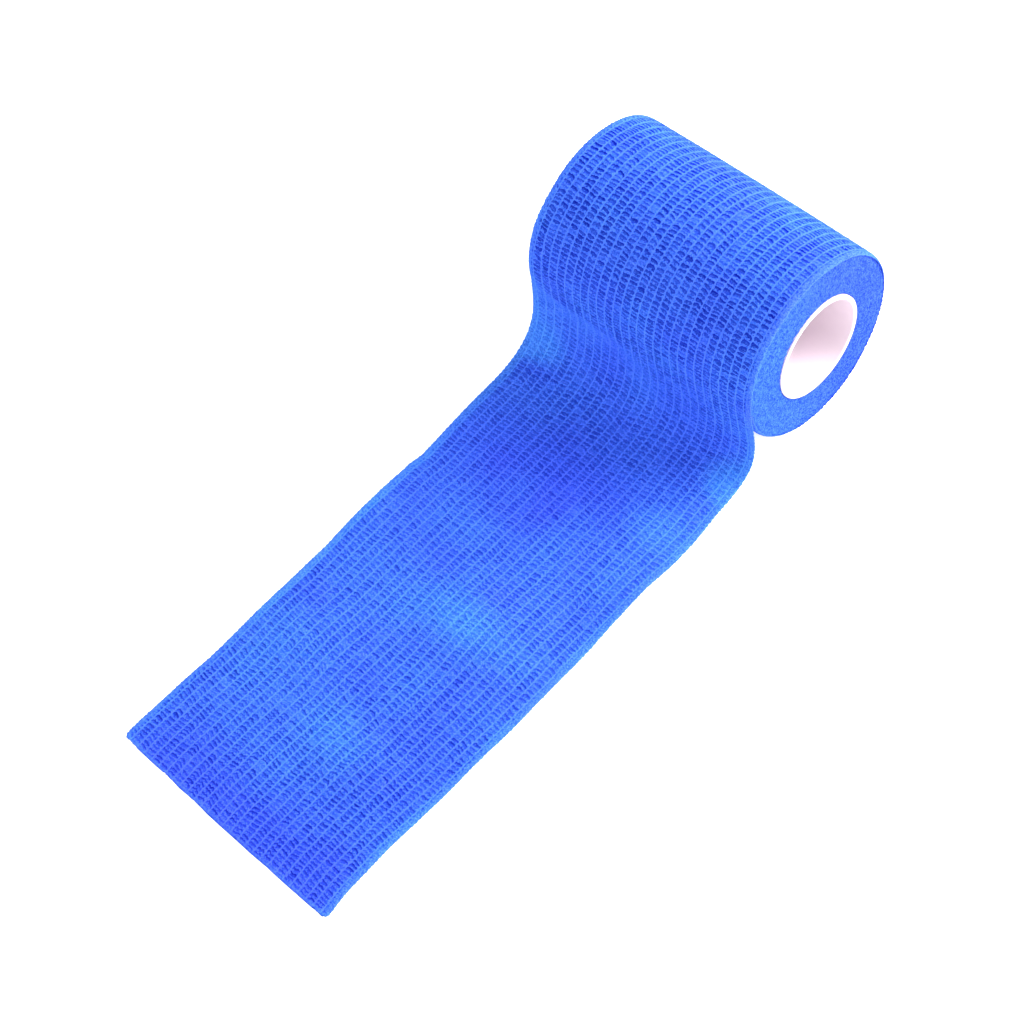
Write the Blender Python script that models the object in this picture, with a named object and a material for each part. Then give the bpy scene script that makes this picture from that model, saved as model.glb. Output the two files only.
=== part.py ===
"""Cohesive bandage roll on its side, with a loose end that lies out flat in front of it.

The cloth is one piece. It is wound on a short tube, its last turn leaves the roll at the side,
falls beside it and runs out over the surface. The tube is a second piece, inside the roll.
Metres, +Z up. The surface is z = 0, and the origin is the middle of the roll's flat spot on it.
The roll's axis runs along X, and the loose end points along -Y.
"""

import math

import bmesh
import bpy

# Cloth: its width, its thickness in the grooves, and the lengthwise ribs between its threads
CLOTH_WIDTH = 0.075
CLOTH_THICKNESS = 0.001
RIB_HEIGHT = 0.0004
RIB_PITCH = 0.00273
GROOVES = 27

# Wound roll: the outside of the last turn, how much a turn adds, and how far the soft roll is
# pressed flat underneath. The last turn sticks to the one below it down to the peel angle.
ROLL_RADIUS = 0.0274
TURN_STEP = 0.0004
FLAT_DEPTH = 0.00035
FLAT_HALF_WIDTH = 0.006
PEEL_ANGLE = math.radians(12)

# Tube that the cloth is wound on, a little longer than the cloth is wide
TUBE_RADIUS = 0.0151
TUBE_WALL = 0.0013
TUBE_LENGTH = 0.0755
TUBE_CHAMFER = 0.0003
TUBE_CLEARANCE = 0.0003

# Loose end: how far from the roll's axis its two corners lie, and how much its cut edge bows out
LEFT_CORNER_OUT = 0.1840
RIGHT_CORNER_OUT = 0.1900
CUT_EDGE_BOW = 0.0003

# Side edges of the loose end, at distances out from the roll's axis
OUTLINE_COLUMNS = ("out", "left", "right")
OUTLINE = (
    (0.0270, -0.0375, 0.0375),
    (0.0420, -0.0370, 0.0372),
    (0.0540, -0.0371, 0.0378),
    (0.0740, -0.0366, 0.0374),
    (0.0800, -0.0374, 0.0374),
    (0.1140, -0.0380, 0.0370),
    (0.1440, -0.0384, 0.0362),
    (0.1680, -0.0395, 0.0350),
    (0.1800, -0.0398, 0.0352),
    (0.1900, -0.0396, 0.0360),
)

# The curve in which the cloth falls from the roll to the surface, at its left and right edges:
# how strongly it keeps its first and its last direction, and where it has come down
FALL_COLUMNS = ("pull_down", "pull_out", "landing_out")
FALL_LEFT = (0.0190, 0.0214, 0.0508)
FALL_RIGHT = (0.0185, 0.0329, 0.0559)

# Soft rises where the loose end doesn't lie quite flat
RISE_COLUMNS = ("across", "out", "half_width", "half_length", "height")
RISES = (
    (0.0110, 0.1040, 0.0240, 0.0200, 0.0018),
    (0.0400, 0.0760, 0.0200, 0.0180, 0.0012),
    (-0.0230, 0.1340, 0.0220, 0.0170, 0.0014),
    (0.0130, 0.1540, 0.0200, 0.0140, 0.0012),
    (-0.0420, 0.0960, 0.0160, 0.0160, 0.0010),
)

# Steps of the mesh; the underside has one point for every few points of the ribbed upper side
ROLL_STEPS = 48
FALL_STEPS = 10
FLOOR_STEPS = 26
UNDERSIDE_STRIDE = 4
TUBE_STEPS = 48
SMOOTH_BELOW = math.radians(40)


def wound_radius(angle):
    """Outside of the roll on a rib. Angles start where the cloth leaves, and go down and under."""
    return ROLL_RADIUS - TURN_STEP * (1 - angle / math.tau)


AXIS_Z = wound_radius(math.pi / 2) - FLAT_DEPTH


def eased(share):
    share = min(max(share, 0.0), 1.0)
    return share * share * (3 - 2 * share)


def between(first, second, share):
    return first + (second - first) * share


def stations():
    """Places across the cloth, (share of its width, how deep in a groove), from left to right."""
    first = 0.5 - RIB_PITCH * (GROOVES - 1) / 2 / CLOTH_WIDTH
    grooves = [first + RIB_PITCH * k / CLOTH_WIDTH for k in range(GROOVES)]
    marks = [0.0] + grooves + [1.0]
    places = [(0.0, 1.0)]
    for left, right in zip(marks, marks[1:]):
        places += [((left + right) / 2, 0.0), (right, 1.0)]
    return places


def edges_at(out):
    """Left and right edge of the loose end at a distance out, eased between the table's rows."""
    rows = [dict(zip(OUTLINE_COLUMNS, row)) for row in OUTLINE]
    for near, far in zip(rows, rows[1:]):
        if out <= far["out"]:
            share = eased((out - near["out"]) / (far["out"] - near["out"]))
            return [between(near[side], far[side], share) for side in ("left", "right")]
    return rows[-1]["left"], rows[-1]["right"]


def rise_at(across, out):
    """Height of the cloth's underside over the surface, zero wherever it lies flat."""
    height = 0.0
    for row in RISES:
        rise = dict(zip(RISE_COLUMNS, row))
        sideways = (across - rise["across"]) / rise["half_width"]
        lengthwise = (out - rise["out"]) / rise["half_length"]
        inside = max(0.0, 1 - sideways**2 - lengthwise**2)
        height += rise["height"] * inside**2
    return height


def roll_point(angle, radius, share):
    x = CLOTH_WIDTH * (share - 0.5)
    y = -radius * math.cos(angle)
    z = AXIS_Z - radius * math.sin(angle)
    return x, y, max(z, 0.0)


def wound_line(angles, share, groove):
    """Outer surface of the wound roll at one place across; its ribs are pressed flat underneath."""
    line = []
    for angle in angles:
        relief = RIB_HEIGHT * groove
        if math.sin(angle) > 0:
            past_flat = abs(math.cos(angle)) * ROLL_RADIUS - FLAT_HALF_WIDTH
            relief *= eased(past_flat / FLAT_HALF_WIDTH)
        line.append(roll_point(angle, wound_radius(angle) - relief, share))
    return line


def fall_points(share):
    """The falling cloth's outer face on its ribs: (out, height, and the direction) on a curve."""
    left, right = (dict(zip(FALL_COLUMNS, row)) for row in (FALL_LEFT, FALL_RIGHT))
    pull_down, pull_out, landing = (between(left[k], right[k], share) for k in FALL_COLUMNS)
    top = CLOTH_THICKNESS + RIB_HEIGHT
    curve = (
        (ROLL_RADIUS, AXIS_Z),
        (ROLL_RADIUS, AXIS_Z - pull_down),
        (landing - pull_out, top),
        (landing, top),
    )
    start = ROLL_RADIUS * math.sin(PEEL_ANGLE) / (3 * pull_down)
    points = []
    for step in range(FALL_STEPS + 1):
        t = between(start, 1.0, step / FALL_STEPS)
        s = 1 - t
        weights = (s**3, 3 * s * s * t, 3 * s * t * t, t**3)
        slopes = (-3 * s * s, 3 * s * (s - 2 * t), 3 * t * (2 * s - t), 3 * t * t)
        out, height = (sum(w * p[k] for w, p in zip(weights, curve)) for k in (0, 1))
        way_out, way_up = (sum(w * p[k] for w, p in zip(slopes, curve)) for k in (0, 1))
        length = math.hypot(way_out, way_up)
        points.append((out, height, way_out / length, way_up / length))
    return points


def loose_line(share, groove):
    """Upper and lower side of the loose end at one place across, from the peel to the cut edge."""
    upper, lower = [], []

    def add_pair(out, height, away_out, away_up):
        """Points on the upper side and under it, below a place on the ribs and its direction out."""
        across = between(*edges_at(out), share)
        for line, depth in ((upper, RIB_HEIGHT * groove), (lower, CLOTH_THICKNESS + RIB_HEIGHT)):
            line.append((across, depth * away_out - out, max(height - depth * away_up, 0.0)))

    falling = fall_points(share)
    for out, height, way_out, way_up in falling:
        add_pair(out, height, -way_up, way_out)
    landing = falling[-1][0]
    bow = CUT_EDGE_BOW * math.sin(math.pi * share)
    cut = between(LEFT_CORNER_OUT, RIGHT_CORNER_OUT, share) + bow
    for step in range(1, FLOOR_STEPS + 1):
        out = between(landing, cut, step / FLOOR_STEPS)
        lift = rise_at(between(*edges_at(out), share), out)
        add_pair(out, lift + CLOTH_THICKNESS + RIB_HEIGHT, 0.0, 1.0)
    return upper, lower


def link(bm, first, second, closed=False):
    """Four-sided faces between two lines with the same number of vertices."""
    for i in range(len(first) if closed else len(first) - 1):
        j = (i + 1) % len(first)
        bm.faces.new((first[i], first[j], second[j], second[i]))


def link_sparse(bm, dense, sparse):
    """Faces between a line of vertices and one that has a vertex for every few of them."""
    stride = (len(dense) - 1) // (len(sparse) - 1)
    for i in range(len(sparse) - 1):
        run = dense[i * stride:(i + 1) * stride + 1]
        bm.faces.new(run + [sparse[i + 1], sparse[i]])


def make_object(name, bm, material):
    bmesh.ops.recalc_face_normals(bm, faces=bm.faces)
    mesh = bpy.data.meshes.new(name)
    bm.to_mesh(mesh)
    bm.free()
    mesh.shade_smooth()
    mesh.set_sharp_from_angle(angle=SMOOTH_BELOW)
    mesh.materials.append(material)
    piece = bpy.data.objects.new(name, mesh)
    bpy.context.scene.collection.objects.link(piece)


def make_material(name, colour, roughness, sheen):
    material = bpy.data.materials.new(name)
    material.use_nodes = True
    shader = material.node_tree.nodes["Principled BSDF"]
    shader.inputs["Base Color"].default_value = (*colour, 1.0)
    shader.inputs["Roughness"].default_value = roughness
    shader.inputs["Metallic"].default_value = 0.0
    shader.inputs["Sheen Weight"].default_value = sheen
    return material


def make_bandage():
    """The whole length of cloth in one solid: the wound roll and its loose end."""
    bm = bmesh.new()
    step = (math.tau - PEEL_ANGLE) / ROLL_STEPS
    angles = [PEEL_ANGLE + step * k for k in range(ROLL_STEPS + 1)]

    # Lines of vertices along the cloth, one at each place across it
    wound, upper, lower = [], [], []
    for share, groove in stations():
        top, bottom = loose_line(share, groove)
        wound.append([bm.verts.new(point) for point in wound_line(angles, share, groove)])
        upper.append([bm.verts.new(point) for point in top])
        if len(upper) % UNDERSIDE_STRIDE == 1:
            lower.append([bm.verts.new(point) for point in bottom[1:]])

    # Outside of the roll with the loose end's upper side, then its underside and its cut edge
    for here, beside in zip(range(len(upper)), range(1, len(upper))):
        link(bm, wound[here] + upper[here], wound[beside] + upper[beside])
    for here, beside in zip(lower, lower[1:]):
        link(bm, here, beside)
    link_sparse(bm, [line[0] for line in wound], [line[0] for line in lower])
    link_sparse(bm, [line[-1] for line in upper], [line[-1] for line in lower])

    # Hole for the tube, the roll's two end faces, and the loose end's two side edges
    bores = []
    for side, share in ((0, 0.0), (-1, 1.0)):
        bore_radius = TUBE_RADIUS + TUBE_CLEARANCE
        bore = [bm.verts.new(roll_point(angle, bore_radius, share)) for angle in angles]
        link(bm, bore, wound[side], closed=True)
        bm.faces.new((wound[side][-1], wound[side][0], upper[side][0]))
        link(bm, upper[side], wound[side][:1] + lower[side])
        bores.append(bore)
    link(bm, *bores, closed=True)
    make_object("bandage", bm, make_material("blue_cloth", (0.055, 0.17, 0.85), 0.9, 0.3))


def make_core_tube():
    """The tube: the outline of its wall, with chamfered rims, spun round the roll's axis."""
    end = TUBE_LENGTH / 2
    outside, inside = TUBE_RADIUS, TUBE_RADIUS - TUBE_WALL
    cut = TUBE_CHAMFER
    rim = ((end - cut, outside), (end, outside - cut), (end, inside + cut), (end - cut, inside))
    outline = [*rim, *((-x, radius) for x, radius in reversed(rim))]
    bm = bmesh.new()
    rings = []
    for k in range(TUBE_STEPS):
        angle = math.tau * k / TUBE_STEPS
        spun = [(x, r * math.cos(angle), AXIS_Z + r * math.sin(angle)) for x, r in outline]
        rings.append([bm.verts.new(point) for point in spun])
    for here, beside in zip(rings, rings[1:] + rings[:1]):
        link(bm, here, beside, closed=True)
    make_object("core_tube", bm, make_material("white_plastic", (0.9, 0.88, 0.88), 0.35, 0.0))


def main():
    for old in list(bpy.data.objects):
        bpy.data.objects.remove(old, do_unlink=True)
    make_bandage()
    make_core_tube()


main()
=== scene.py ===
import math

import bpy
import numpy as np
from mathutils import Matrix, Vector


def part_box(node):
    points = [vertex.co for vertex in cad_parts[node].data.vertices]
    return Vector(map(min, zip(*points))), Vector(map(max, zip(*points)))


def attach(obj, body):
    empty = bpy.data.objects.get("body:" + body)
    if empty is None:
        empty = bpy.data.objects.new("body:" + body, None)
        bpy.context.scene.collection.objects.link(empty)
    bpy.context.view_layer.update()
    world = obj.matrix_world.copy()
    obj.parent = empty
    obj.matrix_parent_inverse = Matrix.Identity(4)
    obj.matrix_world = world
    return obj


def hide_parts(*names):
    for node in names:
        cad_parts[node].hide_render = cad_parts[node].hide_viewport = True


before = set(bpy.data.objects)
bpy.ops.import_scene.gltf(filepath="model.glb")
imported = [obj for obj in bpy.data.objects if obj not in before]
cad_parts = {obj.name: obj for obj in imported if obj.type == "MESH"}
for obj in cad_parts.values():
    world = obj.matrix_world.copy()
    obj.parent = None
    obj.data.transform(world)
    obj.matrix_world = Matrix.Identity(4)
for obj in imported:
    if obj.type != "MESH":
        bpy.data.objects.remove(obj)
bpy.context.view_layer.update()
cloth_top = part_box("bandage")[1].z
tube_low, tube_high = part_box("core_tube")

# ------------------------------------------------------------------------------------------------
# Last turn: the outermost layer of the wound roll. The cloth is a soft blue non-woven, drawn
# together along its length by 27 thin elastic threads, so that it stands up in small crosswise
# crinkles between them. The same length of cloth goes on as the loose end.
# ------------------------------------------------------------------------------------------------

AXIS_Z = (tube_low.z + tube_high.z) / 2
TURN_STEP = 0.0004
ROLL_RADIUS = cloth_top - AXIS_Z + TURN_STEP / 4
CLOTH_HALF_WIDTH = 0.0375

THREADS = 27
THREAD_PITCH = 0.00273
STEPS_PER_COLUMN = 6
ROW_SPACING = 0.00037
UNDERSIDE_STRIDE = 12

# Distance from ridge to ridge, and how it varies from one to the next and over several of them
CRINKLE_PITCH = 0.00128
PITCH_SPREAD = 0.18
PITCH_DRIFT = 0.12
DRIFT_RIDGES = 9
SPARE_RIDGES = 1.25
LOOSE_EVENNESS = 0.65
# Slant and bend of a ridge between two threads, in pitches, and the length each changes over
RIDGE_SLANT = 0.22
SLANT_REACH = 0.0025
RIDGE_BEND = 0.24
BEND_LEAN = 0.04
BEND_MIDDLE = 0.4
BEND_REACH = 0.0030
# Heights of the cloth's surface: the rise between threads, the hollows and the single fibres
RIB_HEIGHT = 0.00018
RIB_SQUARENESS = 4
SLIT_DEPTH = 0.00030
SLIT_SHARPNESS = 1.2
SLIT_SQUARENESS = 5
FIBRE_HEIGHT = 0.000022
# Depth of each hollow as a share of the full depth; a few of them have almost closed up
DEPTH_MIDDLE = 0.93
DEPTH_SPREAD = 0.13
SHALLOWEST = 0.50
DEEPEST = 1.08
CLOSED_CHANCE = 0.04
CLOSED_DEPTH = 0.55
DEPTH_DRIFT = 0.08
DEPTH_REACH = 0.011
# Past the roll the cloth goes slack, with shallower hollows, and deeper ones again farther out
SLACK_OVER = 0.02
LOOSE_CALM = 0.24
DEEPER_FROM = 0.05
DEEPER_OVER = 0.11
DEEPER_BY = 0.6
# Hollows fade out towards the side edges, and come closer to them near the cut end
EDGE_PLAIN = 0.05
BAND_WAVE = 0.3
BAND_REACH = 0.0007
LATE_FROM = 0.120
LATE_OVER = 0.03
LATE_LEFT = 0.35
LATE_RIGHT = 0.15
# The side edges and threads sway a little, and the cut end has a plain rim
EDGE_SCALLOP = 0.00016
SCALLOP_SPREAD = 0.3
THREAD_WANDER = 0.00014
WANDER_REACH = 0.009
CUT_RIM = 0.0014
RIM_SOFTNESS = 0.6
RIM_CALM = 0.8

columns = THREADS + 1
marks = [THREAD_PITCH * (k - (THREADS - 1) / 2) for k in range(THREADS)]
marks = np.array([-CLOTH_HALF_WIDTH, *marks, CLOTH_HALF_WIDTH])
in_column = np.linspace(-1, 1, STEPS_PER_COLUMN + 1)
station_x = np.interp(
    np.arange(columns * STEPS_PER_COLUMN + 1) / STEPS_PER_COLUMN, np.arange(columns + 1), marks
)


def eased(share):
    share = np.clip(share, 0.0, 1.0)
    return share * share * (3 - 2 * share)


def wander(rng, places, reach, lines=1):
    """Smooth random curves, one a line, with values from -1 to 1 that change over a reach."""
    knots = int(np.max(places) / reach) + 3
    values = rng.uniform(-1, 1, (lines, knots))
    cell = (places / reach).astype(int)
    share = eased(places / reach - cell)
    return values[:, cell] * (1 - share) + values[:, cell + 1] * share


def spread(by_column):
    """Values at each station across the cloth, from values at each place in each column."""
    inner = by_column[:, :-1].reshape(-1, by_column.shape[-1])
    return np.vstack([inner, by_column[-1:, -1]])


def crinkle(turn_length, loose_length):
    """The crinkles of the whole length of cloth, from where the last turn starts to the cut end.

    The phase grows by one from ridge to ridge, with a hollow half-way. Each column between two
    threads has its own ridges at uneven distances, bent and slanted, and each hollow its own depth.
    """
    rng = np.random.default_rng(11)
    turn_rows = round(turn_length / ROW_SPACING)
    loose_rows = round(loose_length / ROW_SPACING)
    rows = turn_rows + loose_rows + 1
    along = np.arange(rows) * ROW_SPACING
    loose = along - turn_length
    u = in_column[None, :, None]

    # Places of the ridges
    ridges = int(along[-1] / CRINKLE_PITCH * SPARE_RIDGES)
    uneven = np.where(np.arange(ridges) * CRINKLE_PITCH < turn_length, 1.0, LOOSE_EVENNESS)
    pitch = CRINKLE_PITCH * np.exp(rng.normal(0, PITCH_SPREAD, (columns, ridges)) * uneven)
    pitch *= 1 + PITCH_DRIFT * uneven * wander(rng, np.arange(ridges), DRIFT_RIDGES, columns)
    places = np.cumsum(pitch, axis=1) - CRINKLE_PITCH * 2
    phase = np.array([np.interp(along, line, np.arange(ridges)) for line in places])
    slant = RIDGE_SLANT * wander(rng, along, SLANT_REACH, columns)
    bend = RIDGE_BEND * wander(rng, along, BEND_REACH, columns) + BEND_LEAN
    phase = phase[:, None] + slant[:, None] * u + bend[:, None] * (u * u - BEND_MIDDLE)

    # Depth of the hollows
    depths = rng.normal(DEPTH_MIDDLE, DEPTH_SPREAD, (columns, ridges + 3))
    depths = np.clip(depths, SHALLOWEST, DEEPEST)
    depths *= np.where(rng.uniform(0, 1, depths.shape) < CLOSED_CHANCE, CLOSED_DEPTH, 1.0)
    cell = np.floor(phase).astype(int)
    depth = depths[np.arange(columns)[:, None, None], cell + 1]
    calm = 1 - DEPTH_DRIFT + DEPTH_DRIFT * wander(rng, along, DEPTH_REACH, columns)
    deeper = 1 - DEEPER_BY * eased((loose - DEEPER_FROM) / DEEPER_OVER)
    relaxed = 1 - LOOSE_CALM * eased(loose / SLACK_OVER) * deeper
    depth = depth * calm[:, None] * relaxed
    band = BAND_WAVE * wander(rng, along, BAND_REACH, 2)
    depth *= 1 - RIM_CALM * eased((loose - loose_length + CUT_RIM) / (RIM_SOFTNESS * CUT_RIM))
    late = eased((loose - LATE_FROM) / LATE_OVER)
    depth[0] *= eased(in_column[:, None] + EDGE_PLAIN + LATE_LEFT * late + band[0])
    depth[-1] *= eased(-in_column[:, None] + EDGE_PLAIN + LATE_RIGHT * late + band[1])

    # Height of the surface, and how far each line of it is moved sideways
    ridge = 0.5 + 0.5 * np.cos(math.tau * phase)
    rough = rng.normal(0, FIBRE_HEIGHT, (columns, STEPS_PER_COLUMN + 1, rows))
    hollow = (1 - ridge) ** SLIT_SHARPNESS * (1 - np.abs(u) ** SLIT_SQUARENESS)
    height = RIB_HEIGHT * (1 - u**RIB_SQUARENESS) - SLIT_DEPTH * depth * hollow + rough
    sway = THREAD_WANDER * wander(rng, along, WANDER_REACH, columns + 1)
    sway = np.array([np.interp(station_x, marks, sway[:, row]) for row in range(rows)]).T
    outward = np.zeros(len(station_x))
    outward[[0, -1]] = -1, 1
    scalloped = spread(ridge) - 0.5 + rng.normal(0, SCALLOP_SPREAD, (1, rows))
    sway += EDGE_SCALLOP * outward[:, None] * scalloped
    return {
        "turn": slice(0, turn_rows + 1),
        "loose": slice(turn_rows, rows),
        "phase": phase,
        "depth": depth,
        "height": spread(height),
        "sway": sway,
        "cast": dye_and_painted_light_cast(rng, along, turn_length),
    }


# The cast: the dye's even part and its clouds, painted light that makes the side edges paler, and
# what the cut end adds
EVEN_CAST = 0.38
CLOUD_CAST = 0.16
CLOUD_REACH = 0.010
CLOUD_LINES = 9
EDGE_CAST_FROM = 0.0340
EDGE_CAST_OVER = 0.0025
# Painted light: the side edges are painted paler where light shows through the thin cloth, for each
# side on the roll, on the loose end and near the cut end
LEFT_EDGE_PAINTED_LIGHT = (0.14, 0.32, -0.28)
RIGHT_EDGE_PAINTED_LIGHT = (0.00, 0.26, 0.12)
RIM_CAST = 0.25


def dye_and_painted_light_cast(rng, along, turn_length):
    """How far the blue leans to cyan, from 0 to 1: slow clouds of dye, and painted light that makes
    the cloth's thin edges paler.
    """
    lines = wander(rng, along, CLOUD_REACH, CLOUD_LINES)
    place = np.linspace(0, CLOUD_LINES - 1.01, len(station_x))
    cell = place.astype(int)
    share = eased(place - cell)[:, None]
    clouds = lines[cell] * (1 - share) + lines[cell + 1] * share
    edge = eased((np.abs(station_x) - EDGE_CAST_FROM) / EDGE_CAST_OVER)[:, None]

    # Painted edge light: each side has its share on the roll, what the loose end adds, and what its
    # last part adds
    loose = eased((along - turn_length) / SLACK_OVER)
    late = eased((along - turn_length - LATE_FROM) / LATE_OVER)
    left, right = (on + more * loose + last * late for on, more, last in (LEFT_EDGE_PAINTED_LIGHT, RIGHT_EDGE_PAINTED_LIGHT))
    edge = edge * np.where(station_x[:, None] < 0, left, right)
    rim = RIM_CAST * eased((along - along[-1] + CUT_RIM) / (RIM_SOFTNESS * CUT_RIM))
    return EVEN_CAST + CLOUD_CAST * clouds + edge + rim


def cloth_mesh(name, top, under, phase, depth, cast):
    """A closed sheet from a fine upper grid and a coarser lower one, both [station, row, xyz]."""
    stations, rows = top.shape[:2]
    verts = np.vstack([top.reshape(-1, 3), under.reshape(-1, 3)])
    grid = np.arange(stations * rows).reshape(stations, rows)
    below = stations * rows + np.arange(under.shape[0] * rows).reshape(-1, rows)

    def quads(a, b):
        """Faces between neighbouring lines of vertices, the first lines a and the next ones b."""
        return np.stack([a[..., :-1], b[..., :-1], b[..., 1:], a[..., 1:]], axis=-1).reshape(-1, 4)

    upper = quads(grid[:-1], grid[1:])
    lower = quads(below[1:], below[:-1])
    sides = np.vstack([quads(below[0], grid[0]), quads(grid[-1], below[-1])])
    faces = [*upper.tolist(), *lower.tolist(), *sides.tolist()]
    for row in (0, rows - 1):
        for i in range(len(below) - 1):
            run = grid[i * UNDERSIDE_STRIDE:(i + 1) * UNDERSIDE_STRIDE + 1, row].tolist()
            end = [below[i + 1, row], below[i, row]]
            faces.append(run + end if row else end[::-1] + run[::-1])
    mesh = bpy.data.meshes.new(name)
    mesh.from_pydata(verts.tolist(), [], faces)
    mesh.shade_smooth()
    felted = np.arange(len(faces)) >= len(upper)
    mesh.polygons.foreach_set("material_index", felted.astype(int))

    # The face corners of a column hold how far across they are, in half columns, and their phase
    across = np.arange(STEPS_PER_COLUMN + 1) / STEPS_PER_COLUMN
    across = 2 * (np.arange(columns)[:, None] + across)
    across = np.broadcast_to(across[..., None], phase.shape)
    corner = np.stack([across, phase], axis=-1)
    weave = np.stack(
        [corner[:, :-1, :-1], corner[:, 1:, :-1], corner[:, 1:, 1:], corner[:, :-1, 1:]], axis=-2
    )
    flat = np.zeros((len(mesh.loops), 2))
    weave = weave.reshape(-1, 2)
    flat[:len(weave)] = weave
    layer = mesh.uv_layers.new(name="weave")
    layer.data.foreach_set("uv", flat.ravel())
    for label, values in (("hollow", spread(depth)), ("cast", cast)):
        filled = np.zeros(len(verts))
        filled[:stations * rows] = values.ravel()
        mesh.attributes.new(label, "FLOAT", "POINT").data.foreach_set("value", filled)
    piece = bpy.data.objects.new(name, mesh)
    bpy.context.scene.collection.objects.link(piece)
    return piece


def add_node(tree, kind, settings=(), **inputs):
    """A shader node with its settings, and its inputs set to a value or linked to a socket."""
    node = tree.nodes.new(kind)
    for key, value in settings:
        setattr(node, key, value)
    for key, value in inputs.items():
        place = int(key[1:]) if key[0] == "_" and key[1:].isdigit() else key.replace("_", " ")
        socket = node.inputs[place]
        if isinstance(value, bpy.types.NodeSocket):
            tree.links.new(value, socket)
        else:
            socket.default_value = value
    return node


def math_node(tree, operation, *values):
    inputs = {f"_{i}": value for i, value in enumerate(values)}
    return add_node(tree, "ShaderNodeMath", [("operation", operation)], **inputs).outputs[0]


def ramp(tree, value, low, high, to_low=0.0, to_high=1.0):
    """Eases a value from one range into another."""
    return add_node(
        tree, "ShaderNodeMapRange", [("interpolation_type", "SMOOTHSTEP")],
        Value=value, From_Min=low, From_Max=high, To_Min=to_low, To_Max=to_high,
    ).outputs[0]


def blend(tree, share, first, second):
    """Mixes two colours."""
    node = add_node(tree, "ShaderNodeMix", [("data_type", "RGBA")], _0=share)
    for socket, value in ((node.inputs[6], first), (node.inputs[7], second)):
        if isinstance(value, bpy.types.NodeSocket):
            tree.links.new(value, socket)
        else:
            socket.default_value = value
    return node.outputs[2]


def multiplied(tree, first, second):
    """One colour times another."""
    node = add_node(
        tree, "ShaderNodeMix", [("data_type", "RGBA"), ("blend_type", "MULTIPLY")], _0=1.0
    )
    tree.links.new(first, node.inputs[6])
    tree.links.new(second, node.inputs[7])
    return node.outputs[2]


def weighted(tree, *parts):
    """Sum of values, each with its weight."""
    total, *rest = [math_node(tree, "MULTIPLY", value, weight) for value, weight in parts]
    for part in rest:
        total = math_node(tree, "ADD", total, part)
    return total


def group(name, inputs, outputs):
    """An empty shader node group with named sockets: (name, kind, starting value)."""
    tree = bpy.data.node_groups.new(name, "ShaderNodeTree")
    for label, kind, value in inputs:
        socket = tree.interface.new_socket(label, in_out="INPUT", socket_type=kind)
        if value is not None:
            socket.default_value = value
    for label, kind in outputs:
        tree.interface.new_socket(label, in_out="OUTPUT", socket_type=kind)
    return tree, tree.nodes.new("NodeGroupInput").outputs, tree.nodes.new("NodeGroupOutput").inputs


FLOAT, COLOUR, VECTOR = "NodeSocketFloat", "NodeSocketColor", "NodeSocketVector"

# The fibres' mottling is a coarse noise and a finer one, with their shares
FINER = 2.6
COARSE_SHARE = 0.65
FINE_SHARE = 0.35


def make_fibre_fuzz():
    """Mottling of tangled fine fibres, with its fineness in lumps a metre."""
    tree, given, out = group(
        "fibre_fuzz", [("Place", VECTOR, None), ("Fineness", FLOAT, 2200.0)], [("Mottle", FLOAT)]
    )
    coarse = add_node(
        tree, "ShaderNodeTexNoise", Vector=given["Place"], Scale=given["Fineness"],
        Detail=3.0, Roughness=0.65,
    ).outputs[0]
    finer = math_node(tree, "MULTIPLY", given["Fineness"], FINER)
    fine = add_node(
        tree, "ShaderNodeTexNoise", Vector=given["Place"], Scale=finer, Detail=2.0, Distortion=1.2,
    ).outputs[0]
    mixed = weighted(tree, (coarse, COARSE_SHARE), (fine, FINE_SHARE))
    tree.links.new(ramp(tree, mixed, 0.34, 0.66), out["Mottle"])
    return tree


# A hollow's outline in the pattern: how square and how narrow it is, and how its rim is broken up
CELL_WIDTH = 2.22
CELL_SQUARENESS = 4.0
SHALLOW_NARROWNESS = 3.2
DEEP_NARROWNESS = 2.75
RIM_JAGGEDNESS = 0.45
RIM_TANGLE = 1.1
RIM_FRAY = 0.5
FLECK_STRENGTH = 0.45
# A thread's core and its fluff, in column widths from its middle, and how much it wavers
THREAD_CORE = 0.018
THREAD_FLUFF = 0.070
THREAD_LOOSENESS = 0.1
# What the fibres' mottling does to the ridges' blue, and the two ends of the cast, which holds the
# dye's clouds as well as painted light and shade
DARKEST_FIBRE, LIGHTEST_FIBRE = 0.76, 1.18
STRONGEST_DYE, WEAKEST_DYE = 1.025, 0.965
BARE_PALENESS = 0.3
VIOLET_CAST = (0.91, 0.71, 1.0, 1.0)
CYAN_CAST = (1.04, 1.46, 1.0, 1.0)
HOLLOW_SINK, THREAD_RISE, FIBRE_RISE = -0.8, 0.6, 0.3


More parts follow.
